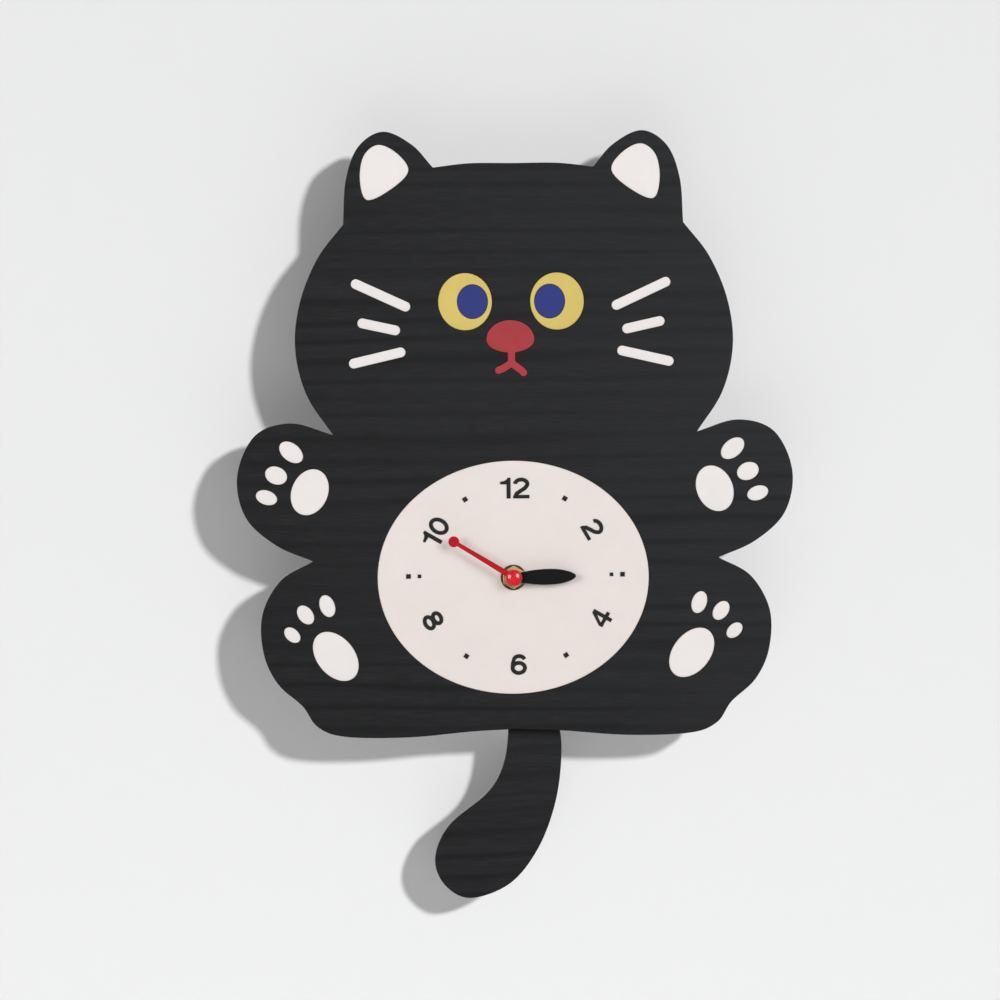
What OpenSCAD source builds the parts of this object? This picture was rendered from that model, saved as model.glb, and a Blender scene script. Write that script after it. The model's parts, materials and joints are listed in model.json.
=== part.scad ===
// Wall clock in the shape of a sitting cat, with a tail that swings under it.
// +X is to the viewer's right, +Z is up and the wall is the plane Y = 0, so the front
// of the clock looks along -Y. The origin is the centre of the hanging hole.
// Heights and sideways places on the front are given from the hands' arbor.

/* [Board] */
// Thickness of the front board with the cut-outs
fascia_t = 3; // [2.6:0.1:5]
// Thickness of the solid board behind it
backing_t = 3; // [2:0.5:5]
// Distance from the wall to the back of the boards
stand_off = 22; // [22:0.5:26]
// How deep the inlays sit below the front of the board
inlay_recess = 0.5; // [0.2:0.1:0.8]
// Gap round every inlay
inlay_gap = 0.15; // [0.1:0.05:0.3]
// Sideways place of the face and the hands from the middle of the board
face_x = -1.5; // [-3:0.5:3]
// Drop from the hanging hole to the hands' arbor
arbor_drop = 150; // [145:1:155]

/* [Dial] */
// Half width of the dial
dial_rx = 68; // [60:0.5:70]
// Half height of the dial
dial_rz = 58.4; // [54:0.1:60]
// Height of the numerals
numeral_h = 10.4; // [8:0.1:12]
// Distance of the four slanted marks from the middle of the print
marks_r = 46.5; // [42:0.5:48]
// Thickness of the numerals and marks
print_t = 0.3; // [0.2:0.1:0.5]

/* [Hands] */
// Length of the hour hand
hour_len = 31.3; // [26:0.1:34]
// Angle of the hour hand, clockwise from 12
hour_angle = 89; // [0:1:360]
// Length of the minute hand to the middle of its round tip
minute_len = 35; // [30:0.5:38]
// Angle of the minute hand, clockwise from 12
minute_angle = 301.5; // [0:0.5:360]

/* [Tail] */
// Thickness of the tail
tail_t = 3; // [2:0.5:4]
// Drop from the arbor to the pendulum pivot
pivot_drop = 30; // [28:1:32]

/* [Movement] */
// Width of the movement case
case_w = 58; // [56:1:64]
// Depth of the movement case
case_d = 17; // [17:0.1:17.5]

/* [Hidden] */
$fn = 64;
eps = 0.01;

// ---- depths, from the wall towards the front (negative Y) ----
backing_back = -stand_off;
fascia_back = backing_back - backing_t;
board_front = fascia_back - fascia_t;
inlay_front = board_front + inlay_recess;
inlay_t = fascia_back - inlay_front;
gasket_t = 1;
case_front = backing_back + gasket_t;

// ---- outlines of the boards, half of each, right of the middle line ----
// Each run ends in a sharp corner; inside a run the curve is smooth.
cat_runs = [
    [[0, 207], [22, 207], [40, 205]],
    [[40, 205], [50.5, 216.5], [64.7, 223], [77.2, 215.5], [83.5, 199], [85, 177]],
    [[85, 177], [98, 160], [107, 138], [109.5, 115], [104, 92], [91, 72]],
    [[91, 72], [112, 78], [130, 72], [139, 52], [135, 31.3], [120, 17.2], [101.5, 9]],
    [[101.5, 9], [117.6, -0.2], [127.1, -17.4], [126.6, -37.1], [119.6, -52.3],
     [107.5, -63.4], [100.1, -73.8], [86.4, -78.9], [55, -79.6], [22.6, -77], [0, -76]]];
ear_run = [[65.5, 216.5], [73, 211], [75, 199], [71.5, 189], [59.6, 194.2],
           [50.7, 203.2], [55.8, 211.8]];
tail_run = [[-5, -67], [-2.9, -76.8], [-5.3, -93.9], [-13.3, -108.1], [-33, -124.6],
            [-40.2, -141.1], [-35.7, -154.4], [-22.8, -161.4], [-2.8, -154.4], [11.5, -137],
            [20.4, -114.1], [23.7, -90.4], [21.9, -74], [12, -66]];

// ---- gear train: one module per meshing pair ----
press_angle = 30;
addendum = 0.8;
dedendum = 1.05;
thinning = 0.1;
motion_gap = 9;
third_gap = 9;
inter_gap = 7.5;
rotor_gap = 7;
rotor_dir = -30;
m_cannon = 2 * motion_gap / (12 + 36);
m_hour = 2 * motion_gap / (10 + 40);
m_centre = 2 * third_gap / (60 + 8);
m_third = 2 * third_gap / (64 + 8);
m_second = 2 * inter_gap / (50 + 10);
m_inter = 2 * rotor_gap / (60 + 10);
motion_x = motion_gap;
third_x = -third_gap;
inter_z = -inter_gap;
rotor_x = rotor_gap * cos(rotor_dir);
rotor_z = inter_z + rotor_gap * sin(rotor_dir);
fit = 0.05;
pin_r = 0.5;
second_r = 0.7;
minute_r = 1.7;
hour_r = 2.5;
bushing_r = 3.9;
motion_r = 0.75;
wheel_t = 0.8;
hub_r = 1.8;

// ---- movement case, heights from the arbor ----
case_top = 31;
case_bottom = -61;
bay_z = 22;
bay_wall_z = 13.2;
battery_r = 7.25;
battery_len = 49.5;
wall_t = 1.5;
screw_x = case_w / 2 - 3.5;
screw_zs = [case_bottom + 3.5, bay_wall_z - 3.5];
bridge_level = 10;
bridge_posts = [[-19, 9], [19, 9], [-19, -15], [19, -15]];
arm_level = 7;
arm_t = 2;
magnet_drop = 22;
slot_half = 12;

// ---- helpers ----
// A point at t on the smooth curve through b and c, with neighbours a and d
function curve_point(a, b, c, d, t) =
    (2*b + (c - a)*t + (2*a - 5*b + 4*c - d)*t*t + (3*b - a - 3*c + d)*t*t*t) / 2;

// An open smooth curve through every point of p, without its last point
function open_curve(p, steps) = let (n = len(p)) [
    for (i = [0 : n - 2]) let (
        a = i > 0 ? p[i-1] : 2*p[0] - p[1],
        d = i < n - 2 ? p[i+2] : 2*p[n-1] - p[n-2])
    for (k = [0 : steps - 1]) curve_point(a, p[i], p[i+1], d, k/steps)];

// A closed smooth curve through every point of p
function closed_curve(p, steps) = let (n = len(p)) [
    for (i = [0 : n - 1])
    for (k = [0 : steps - 1])
    curve_point(p[(i+n-1) % n], p[i], p[(i+1) % n], p[(i+2) % n], k/steps)];

function reversed(p) = [for (i = [len(p) - 1 : -1 : 0]) p[i]];
function mirrored_x(p) = [for (q = p) [-q[0], q[1]]];

function cat_half() = [for (run = cat_runs) each open_curve(run, 8)];
function cat_outline() = let (half = cat_half())
    concat(half, [[0, -76]], reversed(mirrored_x([for (i = [1 : len(half)-1]) half[i]])));

// Points of an ellipse, tilted clockwise
function ellipse_points(cx, cz, rx, rz, tilt = 0, n = 72) = [
    for (i = [0 : n - 1]) let (
        a = 360 * i / n,
        x = rx * cos(a),
        z = rz * sin(a))
    [cx + x*cos(tilt) + z*sin(tilt), cz - x*sin(tilt) + z*cos(tilt)]];

// Moves every point of a clockwise closed outline outwards by d
function grown(p, d) = let (n = len(p)) [
    for (i = [0 : n - 1]) let (
        t = p[(i+1) % n] - p[(i+n-1) % n],
        u = t / norm(t))
    p[i] + d * [-u[1], u[0]]];

// A point on one side of the path p, d away from it
function band_side(p, i, d) = let (
    t = p[min(i+1, len(p)-1)] - p[max(i-1, 0)],
    u = t / norm(t))
    p[i] + d * [-u[1], u[0]];
function arc(cx, cz, rx, rz, a0, a1, n = 16) = [
    for (i = [0 : n]) let (a = a0 + (a1 - a0) * i/n) [cx + rx*cos(a), cz + rz*sin(a)]];

// Lays a flat drawing of X and Z into a slab whose back is at Y = back
module slab(back, thick) {
    translate([0, back, 0]) rotate([90, 0, 0]) linear_extrude(thick) children();
}

// A round bar along Y from y0 (nearer the front) to y1
module rod(x, z, y0, y1, r) {
    translate([x, y1, z]) rotate([90, 0, 0]) cylinder(r = r, h = y1 - y0);
}

// Moves a drawing made from the arbor to its place below the hanging hole
module at_arbor() {
    translate([face_x, 0, -arbor_drop]) children();
}

// Depth inside the movement case, counted from its front
function level(d) = case_front + d;

module level_slab(d, thick) {
    slab(level(d + thick), thick) children();
}

module bar_2d(p, q, w) {
    along = q - p;
    reach = norm(along);
    translate(p) rotate(atan2(along[1], along[0])) {
        translate([0, -w/2]) square([reach, w]);
        circle(d = w);
        translate([reach, 0]) circle(d = w);
    }
}

// ---- gears ----
function involute_at(base, r) = sqrt(max(0, r*r/(base*base) - 1)) * 180/PI
    - acos(min(1, base/r));

// Half the angle that a tooth fills at radius r
function half_tooth(m, z, r) = let (
    pitch = m*z/2,
    base = pitch * cos(press_angle),
    half = 90/z - thinning*m/pitch * 180/PI)
    half + involute_at(base, pitch) - involute_at(base, max(r, base));

// Outline of a gear with a tooth pointing along +X
function gear_points(m, z, steps) = let (
    root = m * (z/2 - dedendum),
    tip = m * (z/2 + addendum),
    radii = [for (k = [0 : steps]) root + (tip - root) * k/steps])
    [for (i = [0 : z - 1]) let (mid = 360*i/z) each concat(
        [for (r = radii) let (a = mid - half_tooth(m, z, r)) r*[cos(a), sin(a)]],
        [for (r = reversed(radii)) let (a = mid + half_tooth(m, z, r)) r*[cos(a), sin(a)]])];

// A gear turned so that one tooth points along dir
module gear_2d(m, z, dir, steps = 1) {
    rotate(dir) polygon(gear_points(m, z, steps));
}

// The mating gear has a gap where the first one has its tooth
function gap_dir(dir, z) = dir + 180 + 180/z;

module pinion_2d(m, z, dir) {
    gear_2d(m, z, dir, 4);
}

// ---- flat shapes of the front, drawn from the arbor ----
module cat_2d() {
    translate([-face_x, 0]) polygon(cat_outline());
}

module ear_2d(grow = 0) {
    polygon(grown(closed_curve(ear_run, 6), grow));
}

module eye_2d(grow = 0) {
    polygon(ellipse_points(23, 138, 13.5 + grow, 14.3 + grow));
}

module pupil_2d(grow = 0) {
    polygon(ellipse_points(19.3, 138, 7.6 + grow, 8.5 + grow));
}

module nose_mouth_2d(grow = 0) {
    nose = concat(arc(-0.5, 119, 12.1 + grow, 9.7 + grow, 0, 180, 24),
                  arc(-0.5, 119, 12.1 + grow, 6.6 + grow, 185, 355, 24));
    lip = 3.8 + 2*grow;
    polygon(nose);
    translate([-lip/2, 107]) square([lip, 8]);
    bar_2d([0, 107.2], [-4.3, 104.5], lip);
    bar_2d([-4.3, 104.5], [-6.5, 103.6], lip);
    bar_2d([0, 107.2], [5, 103.5], lip);
    bar_2d([5, 103.5], [6, 102.4], lip);
}

module whiskers_2d(grow = 0) {
    w = 5 + 2*grow;
    bar_2d([77.5, 147.2], [52.8, 135.8], w);
    bar_2d([74.4, 127.6], [58, 124], w);
    bar_2d([78.8, 107.6], [55.4, 113], w);
}

module front_paw_2d(grow = 0) {
    polygon(ellipse_points(101.4, 43.6, 9.1 + grow, 11.9 + grow, -23.5));
    polygon(ellipse_points(110.5, 63.6, 4.4 + grow, 6.8 + grow, 51));
    polygon(ellipse_points(118.1, 52.1, 4.4 + grow, 5.7 + grow, 68));
    polygon(ellipse_points(123, 41.1, 3.6 + grow, 5.5 + grow, 72));
}

module hind_paw_2d(grow = 0) {
    polygon(ellipse_points(89.2, -38.6, 9.4 + grow, 14 + grow, 39));
    polygon(ellipse_points(93.2, -13.4, 3.8 + grow, 5.7 + grow, 20));
    polygon(ellipse_points(104.1, -17.7, 3.7 + grow, 5.3 + grow, 37));
    polygon(ellipse_points(110.8, -27.7, 3.2 + grow, 4.7 + grow, 48));
}

module dial_2d(grow = 0) {
    polygon(ellipse_points(0, 0, dial_rx + grow, dial_rz + grow, 0, 160));
}

module both_sides() {
    children();
    mirror([1, 0]) children();
}

// ---- boards and inlays ----
module fascia_board() {
    color([0.16, 0.16, 0.17]) at_arbor() slab(fascia_back, fascia_t) difference() {
        cat_2d();
        dial_2d(inlay_gap);
        nose_mouth_2d(inlay_gap);
        both_sides() {
            ear_2d(inlay_gap);
            eye_2d(inlay_gap);
            whiskers_2d(inlay_gap);
            front_paw_2d(inlay_gap);
            hind_paw_2d(inlay_gap);
        }
    }
}

module backing_board() {
    color([0.16, 0.16, 0.17]) at_arbor() slab(backing_back, backing_t) difference() {
        cat_2d();
        circle(r = bushing_r + 0.2);
    }
}

module inlay(side) {
    at_arbor() slab(fascia_back, inlay_t) scale_side(side) children();
}

module scale_side(side) {
    if (side > 0) children();
    else mirror([1, 0]) children();
}

module inner_ear(side) { color([0.94, 0.91, 0.9]) inlay(side) ear_2d(); }
module whiskers(side) { color([0.93, 0.91, 0.89]) inlay(side) whiskers_2d(); }
module front_paw(side) { color([0.93, 0.91, 0.89]) inlay(side) front_paw_2d(); }
module hind_paw(side) { color([0.93, 0.91, 0.89]) inlay(side) hind_paw_2d(); }
module pupil(side) { color([0.24, 0.27, 0.52]) inlay(side) pupil_2d(); }
module nose_mouth() { color([0.68, 0.25, 0.27]) inlay(1) nose_mouth_2d(); }

module eye(side) {
    color([0.86, 0.77, 0.44]) inlay(side) difference() {
        eye_2d();
        pupil_2d(inlay_gap);
    }
}

module dial() {
    color([0.91, 0.89, 0.86]) at_arbor() slab(fascia_back, inlay_t) difference() {
        dial_2d();
        circle(r = bushing_r + 0.2);
    }
}

// ---- numerals: heavy strokes, each digit drawn round its own middle ----
stroke_w = 1.95;
digit_w = 4.05;
// Places of 12, 2, 4, 6, 8 and 10, from the arbor
numeral_places = [[1.1, 44.7], [40.1, 24], [43.9, -20.6], [2.3, -43.7], [-40.4, -21.2],
                  [-38.7, 23.2]];
// Places of the two digits of 10 and 12
digit_pair = [-4.75, 3.2];
// Middle of the printed marks, from the arbor
marks_x = 1.1;
marks_z = 1;

// Half height of the round part of a 6
bowl_h = 3.5;

// One closed line round a 2: outer side of the hook, foot, inner side back
function two_outline(h, w, s) = let (
    path = concat(arc(0, h/2 - 3.2, w - s/2, 3.2 - s/2, 178, -22, 16),
                  [[1.7, -0.2], [-0.6, -1.6], [-2.5, -2.9]]),
    n = len(path),
    foot = -h/2 + 0.9*s)
    concat([for (i = [0 : n - 2]) band_side(path, i, s/2)],
           [[-1.55, foot], [w, foot], [w, -h/2], [-w, -h/2], [-w, foot - 0.7]],
           [for (i = [n - 1 : -1 : 0]) band_side(path, i, -s/2)]);

// One closed line round a 6: outer side of the hook, round part, inner side back
function six_outline(h, w, s) = let (
    path = arc(0.2, h/2 - 3.4, w - s/2 - 0.2, 3.4 - s/2, 20, 150, 12),
    n = len(path))
    concat([for (i = [0 : n - 1]) band_side(path, i, -s/2)],
           [[-w + 0.15, 0.6]],
           arc(0, -h/2 + bowl_h, w, bowl_h, 180, 475, 28),
           [for (i = [n - 1 : -1 : 0]) band_side(path, i, s/2)]);

module oval_ring_2d(cx, cz, rx, rz) {
    difference() {
        polygon(ellipse_points(cx, cz, rx, rz, 0, 32));
        polygon(ellipse_points(cx, cz, rx - stroke_w, rz - stroke_w, 0, 32));
    }
}

module digit_2d(d) {
    h = numeral_h;
    w = digit_w;
    s = stroke_w;
    if (d == 0) oval_ring_2d(0, 0, w, h/2);
    if (d == 1) polygon([[2.6, h/2], [2.6, -h/2], [0.6, -h/2], [0.6, 0.18*h],
                         [-2.6, 0.18*h], [-2.6, 0.31*h], [-1.1, 0.33*h], [0.2, 0.38*h],
                         [0.9, 0.44*h], [1.1, h/2]]);
    if (d == 2) polygon(two_outline(h, w, s));
    if (d == 4) difference() {
        polygon([[2.1, h/2], [2.1, -0.5*h + 4.2], [w, -0.5*h + 4.2],
                 [w, -0.5*h + 2.4], [2.1, -0.5*h + 2.4], [2.1, -h/2],
                 [0.2, -h/2], [0.2, -0.5*h + 2.4], [-w, -0.5*h + 2.4],
                 [-w, -0.5*h + 4.3], [0, h/2]]);
        polygon([[0.2, -0.5*h + 4.2], [-w + 1.6, -0.5*h + 4.2], [0.2, 0.24*h]]);
    }
    if (d == 6) difference() {
        polygon(six_outline(h, w, s));
        polygon(ellipse_points(0, -h/2 + bowl_h, w - s, bowl_h - s, 0, 32));
    }
    if (d == 8) {
        oval_ring_2d(0, -h/2 + 3.05, w, 3.05);
        oval_ring_2d(0, h/2 - 2.85, w - 0.35, 2.85);
    }
}

// A numeral of one or two digits, upright and centred
module numeral_2d(digits) {
    if (len(digits) == 1) digit_2d(digits[0]);
    else for (i = [0, 1]) translate([digit_pair[i], 0]) digit_2d(digits[i]);
}

module dial_numerals() {
    color([0.15, 0.15, 0.15]) at_arbor() slab(inlay_front, print_t) {
        for (i = [0 : 5]) {
            low = i > 1 && i < 5;
            digits = i == 0 ? [1, 2] : i == 5 ? [1, 0] : [2*i];
            translate(numeral_places[i]) rotate(-60*i + (low ? 180 : 0)) numeral_2d(digits);
        }
    }
}

module mark_2d(angle, r, size) {
    rotate(-angle) translate([-size/2, r - size/2]) square(size);
}

module dial_marks() {
    color([0.15, 0.15, 0.15]) at_arbor() slab(inlay_front, print_t) {
        translate([marks_x, 0]) for (a = [32.5, 147.5, 212.5, 327.5]) mark_2d(a, marks_r, 2.3);
        translate([marks_x, marks_z]) for (a = [90, 270]) {
            mark_2d(a, 53.6, 2.3);
            mark_2d(a, 48.1, 1.8);
        }
    }
}

// ---- the stack of parts on the bushing, from the dial outwards ----
washer_t = 0.6;
nut_t = 1.8;
nut_front = inlay_front - washer_t - nut_t;
bushing_front = nut_front - 0.6;
hour_pipe_front = bushing_front - 1.5;
hour_hand_t = 0.5;
hour_hand_back = hour_pipe_front + 0.9;
minute_tube_front = hour_pipe_front - 1.7;
minute_hand_back = hour_hand_back - 1.6;
cap_r = 4.1;

module washer() {
    color([0.72, 0.58, 0.3]) at_arbor() difference() {
        rod(0, 0, inlay_front - washer_t, inlay_front, 6.4);
        rod(0, 0, inlay_front - 2, inlay_front + 1, bushing_r + 0.15);
    }
}

module hex_nut() {
    color([0.78, 0.62, 0.32]) at_arbor() difference() {
        slab(inlay_front - washer_t, nut_t) rotate(30) circle(r = 5.9, $fn = 6);
        rod(0, 0, nut_front - 1, inlay_front, bushing_r);
    }
}

module gasket() {
    color([0.08, 0.08, 0.08]) at_arbor() difference() {
        translate([-24, case_front - gasket_t, -28]) cube([48, gasket_t, 56]);
        rod(0, 0, case_front - 2, case_front + 1, 6);
    }
}

module threaded_bushing() {
    color([0.76, 0.6, 0.3]) at_arbor() difference() {
        union() {
            rod(0, 0, bushing_front, case_front, bushing_r);
            rod(0, 0, case_front - gasket_t, case_front, 5.8);
            rod(0, 0, case_front - eps, level(wall_t), 4.5);
        }
        rod(0, 0, bushing_front - 1, level(wall_t) + 1, hour_r + fit);
    }
}

module hour_hand() {
    profile = [[2.5, 3.4], [3.05, 6.5], [3.7, 11.5], [3.95, 17], [3.65, 22.5], [2.6, 27.3],
               [1.2, 30.3], [0, hour_len]];
    side = concat(open_curve(profile, 4), [[0, hour_len]]);
    color([0.12, 0.12, 0.12]) at_arbor() slab(hour_hand_back, hour_hand_t)
        rotate(-hour_angle) difference() {
            union() {
                circle(r = 3.8);
                polygon(concat([[0, 0]], side, reversed(mirrored_x(side))));
            }
            circle(r = hour_r);
        }
}

module minute_hand() {
    color([0.8, 0.1, 0.12]) at_arbor() slab(minute_hand_back, hour_hand_t)
        rotate(-minute_angle) difference() {
            union() {
                circle(r = 3.5);
                polygon([[-1.5, 0], [1.5, 0], [1, minute_len], [-1, minute_len]]);
                translate([0, minute_len]) circle(r = 2.75);
            }
            circle(r = minute_r);
        }
}

module hand_cap() {
    base = minute_hand_back - hour_hand_t;
    color([0.82, 0.08, 0.12]) at_arbor() translate([0, base, 0]) rotate([90, 0, 0])
        rotate_extrude() difference() {
            intersection() {
                translate([0, -3.6]) circle(r = 6);
                square([cap_r, 5]);
            }
            square([minute_r, 1.4]);
        }
}

// ---- movement case ----
module round_rect_2d(x0, z0, x1, z1, r) {
    translate([x0 + r, z0]) square([x1 - x0 - 2*r, z1 - z0]);
    translate([x0, z0 + r]) square([x1 - x0, z1 - z0 - 2*r]);
    for (x = [x0 + r, x1 - r], z = [z0 + r, z1 - r])
        translate([x, z]) circle(r = r);
}

module each_case_screw() {
    for (x = [-screw_x, screw_x], z = screw_zs) translate([x, 0, z]) children();
}

module front_case() {
    half = case_w/2;
    color([0.1, 0.1, 0.1]) at_arbor() difference() {
        union() {
            difference() {
                level_slab(0, case_d) round_rect_2d(-half, case_bottom, half, case_top, 3);
                // works room, closed by the rear cover
                translate([-half + wall_t, level(wall_t), case_bottom + wall_t])
                    cube([case_w - 2*wall_t, case_d, bay_wall_z - case_bottom - wall_t]);
                // battery bay, open at the back
                translate([-half + wall_t, level(1.5), bay_z - battery_r - 0.1])
                    cube([case_w - 2*wall_t, case_d, 2*battery_r + 0.2]);
                // seat of the rear cover
                translate([-half, level(case_d - wall_t), case_bottom])
                    cube([case_w, case_d, bay_wall_z - case_bottom]);
                // slot for the pendulum arm
                translate([-slot_half, level(5), case_bottom - 1])
                    cube([2*slot_half, 6, wall_t + 2]);
            }
            each_case_screw() rod(0, 0, level(wall_t - eps), level(case_d - wall_t), 2.2);
            // pin of the third wheel
            rod(third_x, 0, level(wall_t - eps), level(7.6), pin_r);
        }
        rod(0, 0, case_front - 1, level(wall_t + 1), 4.5);
        // pivot hole of the setting arbor
        rod(motion_x, 0, level(0.7), level(wall_t + eps), pin_r + fit);
        rod(0, -pivot_drop, level(0.6), level(wall_t + eps), 1);
        each_case_screw() rod(0, 0, level(5), level(case_d), 0.8);
    }
}

cover_mark_t = 0.4;
polarity_x = 20;
polarity_z = 8;

module rear_cover() {
    half = case_w/2;
    color([0.13, 0.13, 0.13]) at_arbor() difference() {
        union() {
            level_slab(case_d - wall_t, wall_t)
                round_rect_2d(-half, case_bottom, half, bay_wall_z, 3);
            // post that carries the pendulum coil
            rod(0, -pivot_drop - magnet_drop, level(13.5), level(case_d - wall_t + eps), 3);
            // boss round the end of the pendulum pin
            difference() {
                rod(0, -pivot_drop, level(12), level(case_d - wall_t + eps), 2.5);
                rod(0, -pivot_drop, level(11), level(case_d - wall_t), 1);
            }
        }
        rod(motion_x, 0, level(case_d - 3), level(case_d + 1), motion_r + fit);
        // sunk field, and the battery's plus and minus
        level_slab(case_d - cover_mark_t, 1) round_rect_2d(-18, -50, 18, -16, 2);
        level_slab(case_d - cover_mark_t, 1) {
            for (x = [-polarity_x, polarity_x]) translate([x - 1.6, polarity_z - 0.4]) square([3.2, 0.8]);
            translate([polarity_x - 0.4, polarity_z - 1.6]) square([0.8, 3.2]);
        }
        each_case_screw() rod(0, 0, level(case_d - 3), level(case_d + 1), 1);
    }
}

// Cutter for a screw's cross slot, from its floor towards the wall
module cross_slot(floor_y, reach, width) {
    for (a = [0, 90]) rotate([0, a, 0])
        translate([-reach/2, floor_y, -width/2]) cube([reach, 3, width]);
}

module case_screws() {
    color([0.7, 0.7, 0.7]) at_arbor() each_case_screw() difference() {
        union() {
            rod(0, 0, level(case_d - 8), level(case_d + eps), 0.8);
            rod(0, 0, level(case_d), level(case_d + 1), 1.9);
        }
        cross_slot(level(case_d + 0.5), 2.4, 0.5);
    }
}

module train_bridge() {
    color([0.86, 0.84, 0.78]) at_arbor() difference() {
        union() {
            level_slab(bridge_level, 1) round_rect_2d(-21.5, -17, 21.5, 11, 2);
            for (p = bridge_posts) rod(p[0], p[1], level(wall_t), level(bridge_level + eps), 2);
            // pin of the intermediate wheel
            rod(0, inter_z, level(7.2), level(bridge_level + eps), pin_r);
        }
        rod(0, 0, level(9), level(12), pin_r + fit);
        rod(motion_x, 0, level(9), level(12), motion_r + 0.1);
        rod(rotor_x, rotor_z, level(9), level(12), pin_r + fit);
    }
}

// ---- going train; every wheel and pinion is one moulding on its arbor ----
// Minute arbor: tube, cannon pinion and centre wheel
module centre_wheel() {
    color([0.92, 0.9, 0.84]) at_arbor() difference() {
        union() {
            level_slab(3.2, 1) pinion_2d(m_cannon, 12, 0);
            level_slab(4.6, wheel_t) gear_2d(m_centre, 60, 180);
            rod(0, 0, level(3.6), level(5.8), hub_r);
            rod(0, 0, minute_tube_front, level(4), minute_r);
        }
        rod(0, 0, minute_tube_front - 1, level(7), second_r + fit);
    }
}

module motion_work_wheel() {
    color([0.9, 0.88, 0.8]) at_arbor() {
        level_slab(3.2, 1) translate([motion_x, 0]) gear_2d(m_cannon, 36, gap_dir(0, 36), 2);
        level_slab(1.8, 1.4 + eps) translate([motion_x, 0]) pinion_2d(m_hour, 10, 180);
        rod(motion_x, 0, level(0.8), level(1.8 + eps), pin_r);
        rod(motion_x, 0, level(4.2 - eps), level(case_d + 2.3), motion_r);
    }
}

module hour_wheel() {
    color([0.92, 0.9, 0.84]) at_arbor() difference() {
        union() {
            level_slab(1.9, 1) gear_2d(m_hour, 40, gap_dir(180, 40), 2);
            rod(0, 0, hour_pipe_front, level(2), hour_r);
        }
        rod(0, 0, hour_pipe_front - 1, level(4), minute_r + fit);
    }
}

module setting_knob() {
    ribs = 24;
    color([0.85, 0.85, 0.83]) at_arbor() difference() {
        level_slab(case_d + 0.3, 2) translate([motion_x, 0]) difference() {
            circle(r = 7);
            for (i = [0 : ribs - 1]) rotate(360*i/ribs) translate([7.2, 0]) circle(r = 0.5, $fn = 24);
        }
        rod(motion_x, 0, level(case_d - 1), level(case_d + 4), motion_r);
        // finger dish
        rod(motion_x, 0, level(case_d + 1.8), level(case_d + 4), 4.8);
    }
}

module third_wheel() {
    color([0.9, 0.88, 0.8]) at_arbor() difference() {
        translate([third_x, 0, 0]) union() {
            level_slab(4.6, wheel_t + 0.9) pinion_2d(m_centre, 8, gap_dir(180, 8));
            level_slab(6.2, wheel_t) gear_2d(m_third, 64, 0);
        }
        rod(third_x, 0, level(4), level(8), pin_r + fit);
    }
}

module second_wheel() {
    color([0.92, 0.9, 0.84]) at_arbor() {
        level_slab(6.2, 1.3) pinion_2d(m_third, 8, gap_dir(0, 8));
        level_slab(7.4, wheel_t) gear_2d(m_second, 50, -90);
        rod(0, 0, minute_tube_front - 0.2, level(6.3), second_r);
        rod(0, 0, level(8.2 - eps), level(10.8), pin_r);
    }
}

module intermediate_wheel() {
    color([0.9, 0.88, 0.8]) at_arbor() difference() {
        translate([0, 0, inter_z]) union() {
            level_slab(7.4, 1.5) pinion_2d(m_second, 10, gap_dir(-90, 10));
            level_slab(8.8, wheel_t) gear_2d(m_inter, 60, rotor_dir);
        }
        rod(0, inter_z, level(7), level(10), pin_r + fit);
    }
}

module rotor_pinion() {
    color([0.85, 0.3, 0.2]) at_arbor() translate([rotor_x, 0, rotor_z]) {
        level_slab(8.6, 1.2) pinion_2d(m_inter, 10, gap_dir(rotor_dir, 10));
        rod(0, 0, level(9.8 - eps), level(13.2), pin_r);
    }
}

module rotor_magnet() {
    color([0.35, 0.35, 0.36]) at_arbor() difference() {
        rod(rotor_x, rotor_z, level(11.4), level(13), 3);
        rod(rotor_x, rotor_z, level(11), level(14), pin_r);
    }
}

// ---- electric parts ----
coil_z = -20.5;

module stator() {
    color([0.6, 0.6, 0.62]) at_arbor() level_slab(11.9, 0.6) difference() {
        union() {
            translate([rotor_x, rotor_z]) circle(r = 4.8);
            translate([rotor_x - 4.8, coil_z - 1.5]) square([9.6, rotor_z - coil_z + 1.5]);
            translate([-17, coil_z - 1.5]) square([17 + rotor_x, 3]);
        }
        translate([rotor_x, rotor_z]) circle(r = 3.4);
    }
}

module drive_coil() {
    core_y = level(12.2);
    color([0.72, 0.42, 0.2]) at_arbor() difference() {
        translate([-16, core_y, coil_z]) rotate([0, 90, 0]) union() {
            cylinder(r = 2.8, h = 16);
            for (x = [0, 15.2]) translate([0, 0, x]) cylinder(r = 3.1, h = 0.8);
        }
        // core opening
        translate([-18, level(11.9) - 0.02, coil_z - 1.52]) cube([20, 0.64, 3.04]);
    }
}

module circuit_board() {
    color([0.12, 0.4, 0.2]) at_arbor() translate([-23, level(13.4), -14]) cube([24, 1, 21]);
}

module chip() {
    color([0.05, 0.05, 0.05]) at_arbor() translate([-10, level(15.2), -2])
        rotate([90, 0, 0]) cylinder(r1 = 3, r2 = 4, h = 0.8);
}

module quartz_crystal() {
    color([0.75, 0.75, 0.77]) at_arbor() translate([-22, level(12.4), -9])
        rotate([0, 90, 0]) cylinder(r = 1, h = 8);
}

module battery() {
    x0 = case_w/2 - wall_t - 0.4 - battery_len - 1;
    color([0.2, 0.2, 0.22]) at_arbor() translate([x0, level(1.5) + battery_r + 0.1, bay_z])
        rotate([0, 90, 0]) union() {
            cylinder(r = battery_r, h = battery_len);
            translate([0, 0, battery_len - eps]) cylinder(r = 2.7, h = 1 + eps);
        }
}

module battery_contact_positive() {
    color([0.8, 0.8, 0.78]) at_arbor()
        translate([case_w/2 - wall_t - 0.4, level(4), bay_z - 5]) cube([0.4, 10, 10]);
}

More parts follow.
